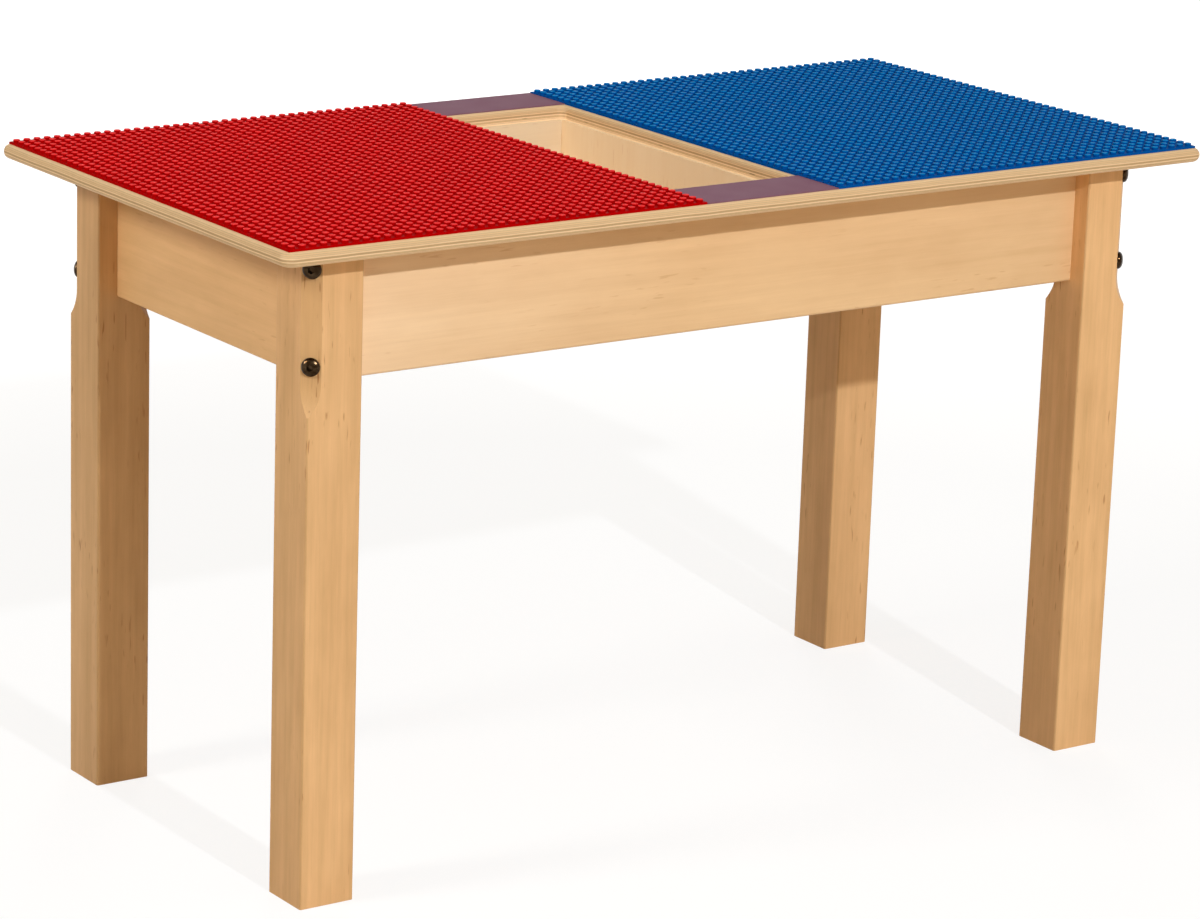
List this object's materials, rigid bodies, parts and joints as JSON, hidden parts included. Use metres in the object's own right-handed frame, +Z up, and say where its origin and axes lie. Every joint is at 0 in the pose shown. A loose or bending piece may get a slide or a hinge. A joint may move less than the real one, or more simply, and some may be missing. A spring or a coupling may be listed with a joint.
{
  "type": "play table",
  "caption": "Child's play table: plywood top with red and blue studded brick plates, a storage well between them, and square wooden legs bolted through chamfered corners.",
  "frame": {"origin": "on the floor, under the middle of the table", "axes": "+X along the table towards the blue plates, +Y from the front to the back, +Z up"},
  "size_m": [0.778, 0.394, 0.4631],
  "materials": {
    "plywood": "clear lacquer",
    "apron_maple": "clear lacquer",
    "leg_maple": "clear lacquer",
    "frame_wood": "bare, planed",
    "red_plastic": "moulded gloss",
    "blue_plastic": "moulded gloss",
    "mauve_laminate": "satin",
    "bronzed_steel": "bronzed",
    "zinc_steel": "zinc plated"
  },
  "bodies": {
    "root": {"apron_back": "apron_maple", "apron_front": "apron_maple", "apron_left": "apron_maple", "apron_right": "apron_maple", "blue_plate_back": "blue_plastic", "blue_plate_front": "blue_plastic", "centre_strip_back": "mauve_laminate", "centre_strip_front": "mauve_laminate", "corner_brace_back_left": "frame_wood", "corner_brace_back_right": "frame_wood", "corner_brace_front_left": "frame_wood", "corner_brace_front_right": "frame_wood", "insert_nuts": "zinc_steel", "leg_back_left": "leg_maple", "leg_back_right": "leg_maple", "leg_bolts": "bronzed_steel", "leg_front_left": "leg_maple", "leg_front_right": "leg_maple", "red_plate_back": "red_plastic", "red_plate_front": "red_plastic", "table_top": "plywood", "top_cleat_back_left": "frame_wood", "top_cleat_back_right": "frame_wood", "top_cleat_front_left": "frame_wood", "top_cleat_front_right": "frame_wood", "well_block_back_left": "frame_wood", "well_block_back_right": "frame_wood", "well_block_front_left": "frame_wood", "well_block_front_right": "frame_wood", "well_floor": "plywood", "well_side_left": "plywood", "well_side_right": "plywood"}
  },
  "joints": []
}
